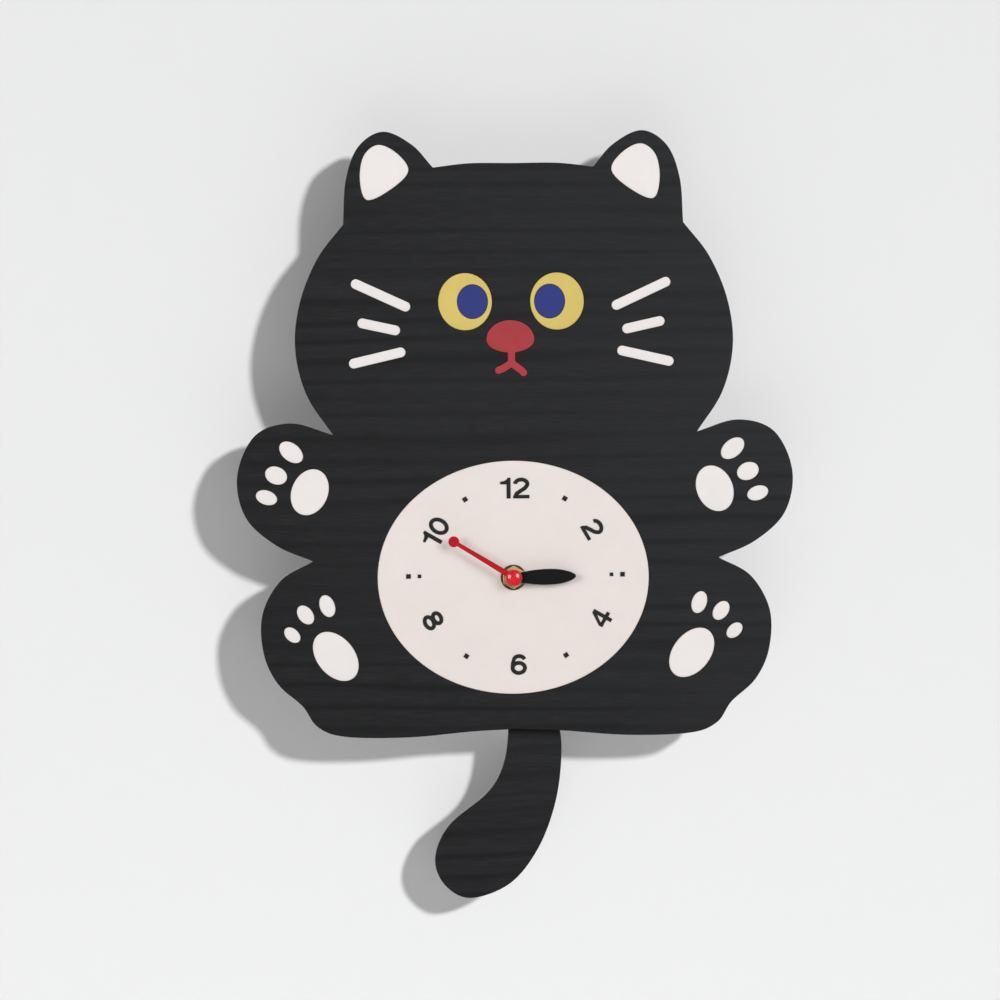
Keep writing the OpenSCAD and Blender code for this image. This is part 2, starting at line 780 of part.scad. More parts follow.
module battery_spring_negative() {
    turns = 4;
    x0 = -case_w/2 + wall_t;
    gap = case_w - 2*wall_t - 0.4 - battery_len - 1;
    pitch = (gap - 0.4) / turns;
    color([0.8, 0.8, 0.78]) at_arbor() {
        translate([x0, level(4), bay_z - 5]) cube([0.4, 10, 10]);
        // the spring's turns as a stack of rings that narrows towards the battery
        translate([x0 + 0.4, level(1.5) + battery_r + 0.1, bay_z]) rotate([0, 90, 0])
            for (i = [0 : turns - 1]) translate([0, 0, i*pitch])
                difference() {
                    cylinder(r = 4.6 - 0.6*i, h = pitch + (i < turns - 1 ? eps : 0));
                    translate([0, 0, -1]) cylinder(r = 3.6 - 0.6*i, h = pitch + 2);
                }
    }
}

// ---- pendulum and tail ----
module pendulum_pin() {
    color([0.75, 0.75, 0.77]) at_arbor()
        rod(0, -pivot_drop, level(0.6), level(case_d - wall_t), 1);
}

module pendulum_coil() {
    coil_z0 = -pivot_drop - magnet_drop;
    color([0.72, 0.42, 0.2]) at_arbor() difference() {
        union() {
            rod(0, coil_z0, level(10.6), level(13.5), 6.4);
            for (d = [10.6, 13]) rod(0, coil_z0, level(d), level(d + 0.5), 7.2);
        }
        rod(0, coil_z0, level(10), level(12), 1.5);
    }
}

pad_top = -66.5;
pad_bottom = -76;
pad_left = -6;
pad_right = 13;
tail_screw_xs = [-1, 9];
tail_screw_z = -71;
tail_front = backing_back + 1.5;
tail_back = tail_front + tail_t;

module pendulum_arm() {
    coil_z0 = -pivot_drop - magnet_drop;
    pad_back = level(arm_level + arm_t);
    color([0.9, 0.9, 0.88]) at_arbor() difference() {
        union() {
            level_slab(arm_level, arm_t) {
                translate([-3, pad_top - 3]) square([6, -pivot_drop - pad_top + 3]);
                translate([0, coil_z0]) circle(r = 6.5);
                round_rect_2d(pad_left, pad_bottom, pad_right, pad_top, 2);
            }
            rod(0, -pivot_drop, level(5), level(11), 3);
            // block that reaches forward to the tail
            slab(pad_back, pad_back - tail_back)
                round_rect_2d(pad_left, pad_bottom, pad_right, pad_top, 2);
        }
        rod(0, -pivot_drop, level(4), level(12), 1 + fit);
        rod(0, coil_z0, level(6), level(10), 5);
        for (x = tail_screw_xs) rod(x, tail_screw_z, tail_back - 1, level(12), 1.1);
    }
}

module pendulum_magnet() {
    color([0.6, 0.6, 0.62]) at_arbor()
        rod(0, -pivot_drop - magnet_drop, level(6.5), level(9.4), 5);
}

module tail() {
    color([0.16, 0.16, 0.17]) at_arbor() slab(tail_back, tail_t) difference() {
        polygon(closed_curve(tail_run, 8));
        for (x = tail_screw_xs) translate([x, tail_screw_z]) circle(r = 0.9);
    }
}

module tail_screws() {
    head_y = level(arm_level + arm_t);
    color([0.7, 0.7, 0.7]) at_arbor() for (x = tail_screw_xs) difference() {
        union() {
            rod(x, tail_screw_z, tail_front + 0.4, head_y + eps, 0.9);
            rod(x, tail_screw_z, head_y, head_y + 1.2, 2.2);
        }
        translate([x, 0, tail_screw_z]) cross_slot(head_y + 0.6, 2.8, 0.6);
    }
}

// ---- hanging and standing off the wall ----
hanger_t = 1.5;
hanger_hole_r = 4.25;
hanger_slot_w = 4.2;
hanger_slot_up = 9;
hanger_screw_x = 16;
pad_t = 2;

module keyhole_2d(r, w) {
    circle(r = r);
    translate([-w/2, 0]) square([w, hanger_slot_up]);
    translate([0, hanger_slot_up]) circle(d = w);
}

module upper_spacer() {
    color([0.72, 0.58, 0.42]) difference() {
        slab(-hanger_t, stand_off - hanger_t) round_rect_2d(-30, -16, 30, 20, 3);
        // pocket for the nail's head
        slab(eps, 10) keyhole_2d(6, 12);
        for (x = [-hanger_screw_x, hanger_screw_x]) rod(x, 0, -12, 0, 1.1);
    }
}

module hanger_plate() {
    color([0.75, 0.75, 0.76]) difference() {
        slab(0, hanger_t) difference() {
            round_rect_2d(-22, -9, 22, 15, 3);
            keyhole_2d(hanger_hole_r, hanger_slot_w);
        }
        for (x = [-hanger_screw_x, hanger_screw_x])
            translate([x, eps, 0]) rotate([90, 0, 0]) cylinder(r1 = 3.1, r2 = 1.55, h = hanger_t + 2*eps);
    }
}

module hanger_screws() {
    color([0.78, 0.78, 0.79]) for (x = [-hanger_screw_x, hanger_screw_x]) difference() {
        union() {
            translate([x, -0.1, 0]) rotate([90, 0, 0]) cylinder(r1 = 2.9, r2 = 1.4, h = hanger_t - 0.1);
            rod(x, 0, -11, -1, 1.1);
        }
        translate([x, 0, 0]) cross_slot(-0.8, 3.2, 0.6);
    }
}

foot_x = 84;
foot_z = -44;

module each_foot() {
    for (side = [-1, 1]) translate([side*foot_x, 0, foot_z - arbor_drop]) children();
}

module lower_spacers() {
    color([0.72, 0.58, 0.42]) each_foot() rod(0, 0, backing_back, -pad_t, 11);
}

module wall_bumpers() {
    color([0.12, 0.12, 0.12]) each_foot() rod(0, 0, -pad_t, 0, 10);
}

fascia_board();
backing_board();
inner_ear(-1);  // inner_ear_left
inner_ear(1);  // inner_ear_right
eye(-1);  // eye_left
eye(1);  // eye_right
pupil(-1);  // pupil_left
pupil(1);  // pupil_right
nose_mouth();
whiskers(-1);  // whiskers_left
whiskers(1);  // whiskers_right
front_paw(-1);  // front_paw_left
front_paw(1);  // front_paw_right
hind_paw(-1);  // hind_paw_left
hind_paw(1);  // hind_paw_right
dial();
dial_numerals();
dial_marks();
hour_hand();
minute_hand();
hand_cap();
hex_nut();
washer();
gasket();
threaded_bushing();
front_case();
rear_cover();
case_screws();
train_bridge();
centre_wheel();
motion_work_wheel();
hour_wheel();
setting_knob();
third_wheel();
second_wheel();
intermediate_wheel();
rotor_pinion();
rotor_magnet();
stator();
drive_coil();
circuit_board();
chip();
quartz_crystal();
battery();
battery_contact_positive();
battery_spring_negative();
pendulum_pin();
pendulum_coil();
pendulum_arm();
pendulum_magnet();
tail();
tail_screws();
upper_spacer();
hanger_plate();
hanger_screws();
lower_spacers();
wall_bumpers();
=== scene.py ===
"""A cat-shaped wall clock with a swinging tail: looks, light and camera round the CAD frame.

Lengths are in metres, +Z is up, the wall is the plane Y = 0 and the dial faces -Y.
"""
import json
import math

import bpy
from mathutils import Matrix, Vector


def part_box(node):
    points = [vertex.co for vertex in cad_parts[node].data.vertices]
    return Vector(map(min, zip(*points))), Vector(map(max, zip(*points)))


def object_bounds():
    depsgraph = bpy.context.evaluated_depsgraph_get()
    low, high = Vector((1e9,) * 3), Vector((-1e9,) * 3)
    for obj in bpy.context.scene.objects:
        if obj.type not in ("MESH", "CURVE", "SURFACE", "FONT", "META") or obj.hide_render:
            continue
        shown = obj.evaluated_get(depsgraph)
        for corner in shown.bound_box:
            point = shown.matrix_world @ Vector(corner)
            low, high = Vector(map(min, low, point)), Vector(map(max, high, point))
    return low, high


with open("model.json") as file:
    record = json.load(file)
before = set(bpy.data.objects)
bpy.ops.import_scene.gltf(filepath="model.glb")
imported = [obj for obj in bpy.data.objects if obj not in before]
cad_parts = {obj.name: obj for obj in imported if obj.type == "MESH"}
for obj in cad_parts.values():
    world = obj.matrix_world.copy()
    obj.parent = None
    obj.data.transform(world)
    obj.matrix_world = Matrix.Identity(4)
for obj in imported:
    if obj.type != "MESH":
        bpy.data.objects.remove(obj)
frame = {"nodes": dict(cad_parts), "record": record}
cad_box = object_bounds()
nodes = frame["nodes"]

MM = 0.001
FULL_TURN = 2 * math.pi
ARBOR = (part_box("washer")[0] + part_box("washer")[1]) / 2
FRONT_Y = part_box("fascia_board")[0].y
WALL_Y = cad_box[1].y
CLOCK_CENTRE = (cad_box[0] + cad_box[1]) / 2


# ---------------------------------------------------------------- node helpers
class Graph:
    """A material's node tree with short calls for the nodes used here."""

    def __init__(self, name, roughness=0.5, metallic=0.0, specular=0.5):
        self.material = bpy.data.materials.new(name)
        self.material.use_nodes = True
        self.tree = self.material.node_tree
        self.tree.nodes.clear()
        self.shader = self.tree.nodes.new("ShaderNodeBsdfPrincipled")
        output = self.tree.nodes.new("ShaderNodeOutputMaterial")
        self.tree.links.new(self.shader.outputs["BSDF"], output.inputs["Surface"])
        self.set("Roughness", roughness)
        self.set("Metallic", metallic)
        self.set("Specular IOR Level", specular)
        self.object_coords = self.add("ShaderNodeTexCoord").outputs["Object"]

    def add(self, kind, **values):
        node = self.tree.nodes.new(kind)
        for key, value in values.items():
            setattr(node, key, value)
        return node

    def feed(self, socket, value):
        """Links value if it is a socket, otherwise stores it."""
        if isinstance(value, bpy.types.NodeSocket):
            self.tree.links.new(value, socket)
        else:
            socket.default_value = value

    def set(self, name, value):
        socket = self.shader.inputs[name]
        if isinstance(value, tuple) and socket.type == "RGBA":
            value = (*value, 1.0)
        self.feed(socket, value)

    def coords(self, scale, source=None):
        node = self.add("ShaderNodeMapping")
        self.feed(node.inputs["Vector"], source or self.object_coords)
        node.inputs["Scale"].default_value = scale
        return node.outputs["Vector"]

    def noise(self, scale, detail=3.0, roughness=0.5, distortion=0.0, source=None):
        """Noise whose features are about 1/scale metres long in X, Y and Z."""
        node = self.add("ShaderNodeTexNoise")
        self.feed(node.inputs["Vector"], self.coords(scale, source))
        node.inputs["Scale"].default_value = 1.0
        node.inputs["Detail"].default_value = detail
        node.inputs["Roughness"].default_value = roughness
        node.inputs["Distortion"].default_value = distortion
        return node.outputs["Fac"]

    def math(self, operation, a, b=0.0, c=0.0):
        node = self.add("ShaderNodeMath", operation=operation)
        for socket, value in zip(node.inputs, (a, b, c)):
            self.feed(socket, value)
        return node.outputs[0]

    def ramp(self, factor, *stops):
        """Maps factor through (position, colour or grey) stops."""
        node = self.add("ShaderNodeValToRGB")
        self.feed(node.inputs["Fac"], factor)
        elements = node.color_ramp.elements
        while len(elements) < len(stops):
            elements.new(0.5)
        for element, (position, colour) in zip(elements, stops):
            element.position = position
            grey = not isinstance(colour, tuple)
            element.color = (colour, colour, colour, 1) if grey else (*colour, 1)
        return node.outputs["Color"]

    def mix(self, factor, a, b):
        """Blends colour a into colour b as factor goes from 0 to 1."""
        node = self.add("ShaderNodeMix", data_type="RGBA")
        self.feed(node.inputs["Factor"], factor)
        for socket, value in ((node.inputs["A"], a), (node.inputs["B"], b)):
            self.feed(socket, (*value, 1.0) if isinstance(value, tuple) else value)
        return node.outputs["Result"]

    def bump(self, height, distance, strength, under=None):
        """A relief of distance metres, on top of the one under it."""
        node = self.add("ShaderNodeBump")
        node.inputs["Strength"].default_value = strength
        node.inputs["Distance"].default_value = distance
        self.feed(node.inputs["Height"], height)
        if under is not None:
            self.feed(node.inputs["Normal"], under)
        return node.outputs["Normal"]

    def normal_part(self, axis):
        """How far the surface faces along an axis, 0 to 1, either way."""
        split = self.add("ShaderNodeSeparateXYZ")
        self.feed(split.inputs[0], self.add("ShaderNodeNewGeometry").outputs["Normal"])
        return self.math("ABSOLUTE", split.outputs[axis])

    def place_part(self, axis, source=None):
        """One coordinate of a place, in metres."""
        split = self.add("ShaderNodeSeparateXYZ")
        self.feed(split.inputs[0], source or self.object_coords)
        return split.outputs[axis]

    def waves(self, place, pitch):
        """A sine along place that repeats every pitch metres."""
        return self.math("SINE", self.math("MULTIPLY", place, FULL_TURN / pitch))

    def radius_xz(self, centre):
        """Distance from the line along Y through centre."""
        dx = self.math("SUBTRACT", self.place_part(0), centre.x)
        dz = self.math("SUBTRACT", self.place_part(2), centre.z)
        total = self.math("ADD", self.math("MULTIPLY", dx, dx), self.math("MULTIPLY", dz, dz))
        return self.math("SQRT", total)


def cut_edge_factor(graph):
    """0 on the faces towards the viewer and the wall, 1 on the cut walls between them."""
    return graph.ramp(graph.normal_part(1), (0.45, 1.0), (0.92, 0.0))


# ---------------------------------------------------------------- materials
RIPPLE_PITCH = 10.4 * MM
RIPPLE_WANDER = 13.0
PLY_EDGE = ((0.38, (0.018, 0.010, 0.007)), (0.50, (0.058, 0.028, 0.015)),
            (0.64, (0.030, 0.016, 0.010)))


def black_stained_ply(name, wave=0.0, tone=0.88):
    """Plywood stained black: level ripples, fine streaks, open pores and browned cut edges.

    wave is how far in metres the grain drifts up and down; tone scales the stain's colour.
    """
    def stained(*colour):
        return tuple(tone * part for part in colour)

    g = Graph(name, specular=0.18)
    source = g.object_coords
    if wave:
        # the grain rises and falls gently along its length
        drift = g.noise((14, 0, 5), detail=1)
        lift = g.math("MULTIPLY", g.math("SUBTRACT", drift, 0.5), wave)
        shift = g.add("ShaderNodeCombineXYZ")
        g.feed(shift.inputs[2], lift)
        moved = g.add("ShaderNodeVectorMath", operation="ADD")
        g.feed(moved.inputs[0], source)
        g.feed(moved.inputs[1], shift.outputs[0])
        source = moved.outputs[0]
    # the colour darkens along a line at every ripple pitch, wandering a little
    height = g.place_part(2, source)
    wander = g.noise((3.2, 0, 34), detail=2, source=source)
    turn = g.math("ADD", g.math("MULTIPLY", height, FULL_TURN / RIPPLE_PITCH),
                  g.math("MULTIPLY", wander, RIPPLE_WANDER))
    ripple = g.math("POWER", g.math("MULTIPLY_ADD", g.math("SINE", turn), 0.5, 0.5), 4.0)
    strength = g.ramp(g.noise((6, 0, 40), detail=1), (0.35, 0.06), (0.65, 0.31))
    bands = g.noise((2.2, 0, 160), detail=3, roughness=0.6, distortion=0.3, source=source)
    streaks = g.noise((75, 0, 1300), detail=4, roughness=0.72, source=source)
    pores = g.noise((120, 0, 2800), detail=2, roughness=0.6, source=source)
    cloud = g.noise((9, 0, 12), detail=2)
    grain = g.math("ADD", g.math("MULTIPLY", bands, 0.35),
                   g.math("MULTIPLY_ADD", streaks, 1.0, -0.15))
    grain = g.math("SUBTRACT", grain, g.math("MULTIPLY", ripple, strength))
    stain = g.ramp(grain,
                   (0.15, stained(0.0020, 0.0021, 0.0025)),
                   (0.48, stained(0.0090, 0.0092, 0.0102)),
                   (0.85, stained(0.0240, 0.0242, 0.0262)))
    faded = g.mix(g.ramp(cloud, (0.35, 0.0), (0.7, 0.25)), stain,
                  stained(0.0150, 0.0150, 0.0164))
    pored = g.mix(g.ramp(pores, (0.60, 0.0), (0.74, 0.35)), faded, (0.005, 0.005, 0.0055))
    # three plies show on the cut walls, browned by the laser
    plies = g.noise((25, 1150, 25), detail=1, roughness=0.4)
    g.set("Base Color", g.mix(cut_edge_factor(g), pored, g.ramp(plies, *PLY_EDGE)))
    g.set("Roughness", g.ramp(streaks, (0.3, 0.50), (0.7, 0.66)))
    soft = g.bump(streaks, 0.00005, 0.5)
    g.set("Normal", g.bump(pores, 0.00004, 0.5, under=soft))
    return g.material


def inlay_board(name, colour, edge_colour, shade=0.93):
    """Smooth lacquered board: a faint mottle, a light orange peel and darker cut walls."""
    roughness = 0.46
    g = Graph(name, roughness=roughness, specular=0.2)
    mottle = g.noise((55, 55, 55), detail=4, roughness=0.6)
    fibre = g.noise((260, 900, 1300), detail=3, roughness=0.6)
    darker = tuple(shade * part for part in colour)
    mixed = g.mix(g.ramp(mottle, (0.35, 0.0), (0.68, 1.0)), colour, darker)
    fleck = tuple(0.8 * part for part in colour)
    flecked = g.mix(g.ramp(fibre, (0.6, 0.0), (0.8, 0.10)), mixed, fleck)
    g.set("Base Color", g.mix(cut_edge_factor(g), flecked, edge_colour))
    peel = g.noise((700, 700, 700), detail=2)
    g.set("Roughness", g.ramp(mottle, (0.3, roughness - 0.04), (0.7, roughness + 0.06)))
    g.set("Normal", g.bump(peel, 0.00003, 0.35))
    return g.material


def printed_black(name):
    """Matt ink, a little uneven in tone and gloss."""
    g = Graph(name, specular=0.25)
    blotch = g.noise((420, 420, 420), detail=3)
    g.set("Base Color", g.ramp(blotch, (0.35, (0.013, 0.013, 0.013)),
                               (0.7, (0.022, 0.0215, 0.021))))
    g.set("Roughness", g.ramp(blotch, (0.3, 0.5), (0.7, 0.68)))
    g.set("Normal", g.bump(blotch, 0.00002, 0.4))
    return g.material


def painted_hand(name, colour, roughness, coat, specular):
    """Lacquered stamping with faint orange peel and a slightly cloudy colour."""
    g = Graph(name, roughness=roughness, specular=specular)
    g.set("Coat Weight", coat)
    g.set("Coat Roughness", 0.12)
    peel = g.noise((900, 900, 900), detail=2)
    cloud = g.noise((130, 130, 130), detail=2)
    g.set("Base Color", g.ramp(cloud, (0.3, tuple(0.88 * c for c in colour)), (0.7, colour)))
    g.set("Normal", g.bump(peel, 0.000012, 0.5))
    return g.material


def gloss_red_cap(name):
    """Bright red plastic under a clear gloss."""
    g = Graph(name, roughness=0.2, specular=0.4)
    g.set("Coat Weight", 1.0)
    g.set("Coat Roughness", 0.03)
    flow = g.noise((300, 300, 300), detail=2)
    g.set("Base Color", g.ramp(flow, (0.3, (0.66, 0.010, 0.018)), (0.7, (0.76, 0.016, 0.026))))
    g.set("Normal", g.bump(flow, 0.00001, 0.3))
    return g.material


def turned_brass(name, colour=(0.98, 0.74, 0.46), roughness=0.44):
    """Brass with the fine rings that turning leaves, and a slight tarnish."""
    ring_pitch = 0.6614 * MM
    g = Graph(name, roughness=roughness, metallic=1.0)
    rings = g.waves(g.radius_xz(ARBOR), ring_pitch)
    scratch = g.noise((1500, 300, 1500), detail=2)
    tarnish = g.noise((160, 160, 160), detail=3)
    darker = tuple(part * factor for part, factor in zip(colour, (0.80, 0.74, 0.64)))
    g.set("Base Color", g.mix(g.ramp(tarnish, (0.45, 0.0), (0.75, 0.8)), colour, darker))
    g.set("Roughness", g.ramp(scratch, (0.3, roughness - 0.05), (0.75, roughness + 0.1)))
    g.set("Normal", g.bump(rings, 0.00001, 0.5))
    return g.material


def moulded_plastic(name, colour, roughness, grain=1800):
    """Plastic out of a spark-eroded mould, with faint flow marks."""
    g = Graph(name, roughness=roughness, specular=0.45)
    texture = g.noise((grain, grain, grain), detail=3, roughness=0.65)
    flow = g.noise((35, 35, 90), detail=3)
    g.set("Base Color", g.mix(g.ramp(flow, (0.35, 0.0), (0.7, 1.0)), colour,
                              tuple(0.86 * part for part in colour)))
    g.set("Roughness", g.ramp(texture, (0.3, roughness - 0.06), (0.75, roughness + 0.1)))
    g.set("Normal", g.bump(texture, 0.00003, 0.5))
    return g.material


def gear_acetal(name):
    """Milky gear plastic that lets a little light in."""
    colour = (0.74, 0.70, 0.60)
    ring_pitch = 0.3927 * MM
    g = Graph(name, roughness=0.36, specular=0.5)
    g.set("Subsurface Weight", 0.15)
    g.set("Subsurface Radius", (0.001, 0.0009, 0.0007))
    flow = g.noise((220, 220, 220), detail=3)
    g.set("Base Color", g.ramp(flow, (0.3, tuple(0.9 * c for c in colour)), (0.7, colour)))
    rings = g.waves(g.radius_xz(ARBOR), ring_pitch)
    g.set("Normal", g.bump(rings, 0.000004, 0.3))
    return g.material


def steel(name, colour=(0.56, 0.56, 0.57), stretch=(60, 1800, 1800), roughness=0.3):
    """Plated or rolled steel with its rolling lines and a few dull patches."""
    g = Graph(name, roughness=roughness, metallic=1.0)
    lines = g.noise(stretch, detail=3, roughness=0.6)
    patch = g.noise((110, 110, 110), detail=4)
    g.set("Base Color", g.mix(g.ramp(patch, (0.4, 0.0), (0.75, 0.6)), colour,
                              tuple(0.72 * part for part in colour)))
    g.set("Roughness", g.ramp(lines, (0.3, roughness - 0.08), (0.72, roughness + 0.14)))
    g.set("Normal", g.bump(lines, 0.000006, 0.5))
    return g.material


def copper_winding(name, axis):
    """Turns of enamelled wire, laid side by side along axis, with painted shade in the grooves
    between turns.
    """
    wire_pitch = 0.22 * MM
    g = Graph(name, roughness=0.34, metallic=0.75)
    turns = g.waves(g.place_part(axis), wire_pitch)
    tone = g.noise((300, 300, 300), detail=3)
    shaded = g.ramp(tone, (0.3, (0.36, 0.11, 0.030)), (0.7, (0.55, 0.19, 0.055)))
    # painted shade: the colour darkens in the groove between neighbouring turns, where the bump
    # dips
    g.set("Base Color", g.mix(g.ramp(turns, (0.0, 0.6), (0.5, 0.0)), shaded, (0.10, 0.03, 0.01)))
    g.set("Normal", g.bump(turns, 0.00005, 0.8))
    return g.material


def circuit_green(name):
    """Solder mask over copper tracks that run square to each other."""
    g = Graph(name, roughness=0.3, specular=0.5)
    brick = g.add("ShaderNodeTexBrick")
    g.feed(brick.inputs["Vector"], g.coords((420, 420, 420)))
    brick.inputs["Scale"].default_value = 1.0
    brick.inputs["Mortar Size"].default_value = 0.10
    brick.inputs["Brick Width"].default_value = 1.9
    brick.inputs["Row Height"].default_value = 0.6
    tone = g.noise((90, 90, 90), detail=2)
    mask = g.ramp(tone, (0.3, (0.006, 0.085, 0.022)), (0.7, (0.010, 0.125, 0.034)))
    g.set("Base Color", g.mix(brick.outputs["Fac"], mask, (0.03, 0.20, 0.055)))
    g.set("Normal", g.bump(brick.outputs["Fac"], 0.00003, 0.6))
    return g.material


def soft_rubber(name, colour=(0.018, 0.018, 0.019)):
    """Dull rubber with dust in its pores."""
    g = Graph(name, roughness=0.82, specular=0.3)
    dust = g.noise((500, 500, 500), detail=5, roughness=0.7)
    g.set("Base Color", g.ramp(dust, (0.4, colour), (0.8, tuple(2.1 * c for c in colour))))
    g.set("Normal", g.bump(dust, 0.00006, 0.6))
    return g.material


def bare_wood(name):
    """Light softwood with long grain along X and darker growth lines."""
    g = Graph(name, roughness=0.62, specular=0.3)
    rings = g.noise((7, 240, 240), detail=2, roughness=0.5, distortion=0.6)
    fibres = g.noise((45, 2200, 2200), detail=3, roughness=0.6)
    base = g.ramp(rings, (0.32, (0.40, 0.235, 0.115)), (0.5, (0.56, 0.36, 0.195)),
                  (0.66, (0.64, 0.44, 0.26)))
    g.set("Base Color", g.mix(g.ramp(fibres, (0.55, 0.0), (0.75, 0.35)), base, (0.27, 0.15, 0.07)))
    g.set("Roughness", g.ramp(fibres, (0.3, 0.55), (0.7, 0.75)))
    g.set("Normal", g.bump(fibres, 0.00007, 0.6))
    return g.material


def battery_wrap(name):
    """A plain printed sleeve: dark, with one paler band at the positive end."""
    low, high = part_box("battery")
    g = Graph(name, roughness=0.26, specular=0.5)
    g.set("Coat Weight", 0.3)
    g.set("Coat Roughness", 0.1)
    span = high.x - low.x
    place = g.math("DIVIDE", g.math("SUBTRACT", g.place_part(0), low.x), span)
    band = g.ramp(place, (0.0, (0.42, 0.42, 0.43)), (0.018, (0.42, 0.42, 0.43)),
                  (0.024, (0.030, 0.036, 0.055)), (0.76, (0.030, 0.036, 0.055)),
                  (0.765, (0.36, 0.36, 0.37)), (0.955, (0.36, 0.36, 0.37)),
                  (0.96, (0.55, 0.55, 0.56)))
    scuff = g.noise((80, 900, 900), detail=3)
    g.set("Base Color", g.mix(g.ramp(scuff, (0.62, 0.0), (0.8, 0.3)), band, (0.2, 0.2, 0.2)))
    g.set("Roughness", g.ramp(scuff, (0.4, 0.22), (0.75, 0.4)))
    return g.material


CREAM_EDGE = (0.24, 0.15, 0.085)
materials = {
    "black_stained_wood": black_stained_ply("black_stained_wood"),
    "cream_board": inlay_board("cream_board", (0.825, 0.750, 0.708), CREAM_EDGE, 0.97),
    "white_inlay": inlay_board("white_inlay", (0.850, 0.800, 0.775), CREAM_EDGE, 0.97),
    "yellow_inlay": inlay_board("yellow_inlay", (0.700, 0.540, 0.150), (0.16, 0.09, 0.03)),
    "blue_inlay": inlay_board("blue_inlay", (0.034, 0.046, 0.215), (0.03, 0.02, 0.03), 0.9),
    "red_inlay": inlay_board("red_inlay", (0.420, 0.050, 0.058), (0.10, 0.02, 0.015), 0.9),
    "black_print": printed_black("black_print"),
    "black_hand": painted_hand("black_hand", (0.0100, 0.0092, 0.0092), 0.42, 0.0, 0.14),
    "red_hand": painted_hand("red_hand", (0.50, 0.006, 0.012), 0.34, 0.1, 0.35),
    "red_cap": gloss_red_cap("red_cap"),
    "brass": turned_brass("brass"),
    "gasket_rubber": soft_rubber("gasket_rubber"),
    "bumper_rubber": soft_rubber("bumper_rubber", (0.022, 0.022, 0.023)),
    "case_plastic": moulded_plastic("case_plastic", (0.022, 0.022, 0.024), 0.48),
    "gear_plastic": gear_acetal("gear_plastic"),
    "knob_plastic": moulded_plastic("knob_plastic", (0.66, 0.65, 0.61), 0.4, 1200),
    "arm_plastic": moulded_plastic("arm_plastic", (0.70, 0.69, 0.65), 0.42, 1200),
    "steel": steel("steel"),
    "magnet": steel("magnet", (0.34, 0.34, 0.35), (700, 700, 700), 0.22),
    "copper_wire": copper_winding("copper_wire", 1),
    "green_board": circuit_green("green_board"),
    "epoxy": moulded_plastic("epoxy", (0.012, 0.012, 0.013), 0.22, 500),
    "battery_wrap": battery_wrap("battery_wrap"),
    "pine": bare_wood("pine"),
}
tail_wood = black_stained_ply("black_stained_wood_tail", wave=0.010, tone=0.94)
drive_winding = copper_winding("copper_wire_drive", 0)
# painted shade: the washer gets a far darker copy of the nut's brass, standing for the shade round
# the nut's outline
washer_brass_painted_shade = turned_brass("brass_washer_painted_shade", (0.30, 0.205, 0.085), 0.3)

for part in frame["record"]["subparts"]:
    slots = nodes[part["node"]].data.materials
    for index in range(len(slots)):
        slots[index] = materials[part["material_slot"]]
nodes["tail"].data.materials[0] = tail_wood
nodes["drive_coil"].data.materials[0] = drive_winding
nodes["washer"].data.materials[0] = washer_brass_painted_shade


# ---------------------------------------------------------------- broken edges
WELD_GAP = 0.002 * MM
FLAT_ANGLE = math.radians(0.3)
SHARP_ANGLE = math.radians(30)
WIDE_EDGE = 0.4


def soften(node, width, segments):
    """Rounds a node's sharp edges and keeps its flat faces flat."""
    piece = nodes[node]
    for polygon in piece.data.polygons:
        polygon.use_smooth = True
    weld = piece.modifiers.new("weld", "WELD")
    weld.merge_threshold = WELD_GAP
    flat = piece.modifiers.new("flat", "DECIMATE")
    flat.decimate_type = "DISSOLVE"
    flat.angle_limit = FLAT_ANGLE
    bevel = piece.modifiers.new("bevel", "BEVEL")
    bevel.width = width
    bevel.segments = segments
    bevel.limit_method = "ANGLE"
    bevel.angle_limit = SHARP_ANGLE
    bevel.use_clamp_overlap = True
    shade = piece.modifiers.new("shade", "WEIGHTED_NORMAL")
    shade.keep_sharp = True
    shade.weight = 90


# bevel width in millimetres: the nodes that have it, all others keep their CAD edges
EDGE_WIDTHS = {
    0.05: ("dial_marks", "dial_numerals", "centre_wheel", "third_wheel", "second_wheel",
           "intermediate_wheel", "hour_wheel", "motion_work_wheel"),
    0.10: ("washer", "hour_hand", "minute_hand", "hand_cap", "chip", "circuit_board", "stator",
           "train_bridge", "pendulum_magnet", "rotor_magnet", "pendulum_pin",
           "battery_contact_positive", "drive_coil", "pendulum_coil", "quartz_crystal"),
    0.15: ("inner_ear_left", "inner_ear_right", "eye_left", "eye_right", "pupil_left",
           "pupil_right", "nose_mouth", "whiskers_left", "whiskers_right", "front_paw_left",
           "front_paw_right", "hind_paw_left", "hind_paw_right", "setting_knob",
           "case_screws", "tail_screws"),
    0.22: ("fascia_board", "backing_board", "tail", "dial"),
    0.30: ("hanger_plate", "gasket"),
    0.45: ("front_case", "rear_cover", "pendulum_arm", "battery", "lower_spacers",
           "wall_bumpers"),
    0.60: ("upper_spacer", "hex_nut"),
}
for width, names in EDGE_WIDTHS.items():
    for name in names:
        soften(name, width * MM, segments=3 if width > WIDE_EDGE else 2)


# ---------------------------------------------------------------- stage
def make_plane(name, centre, across, up, material):
    """A stage rectangle that faces the cross product of across and up."""
    mesh = bpy.data.meshes.new(name)
    corners = [centre - across - up, centre + across - up,
               centre + across + up, centre - across + up]
    mesh.from_pydata([tuple(corner) for corner in corners], [], [(0, 1, 2, 3)])
    piece = bpy.data.objects.new(name, mesh)
    piece.data.materials.append(material)
    bpy.context.scene.collection.objects.link(piece)
    return piece


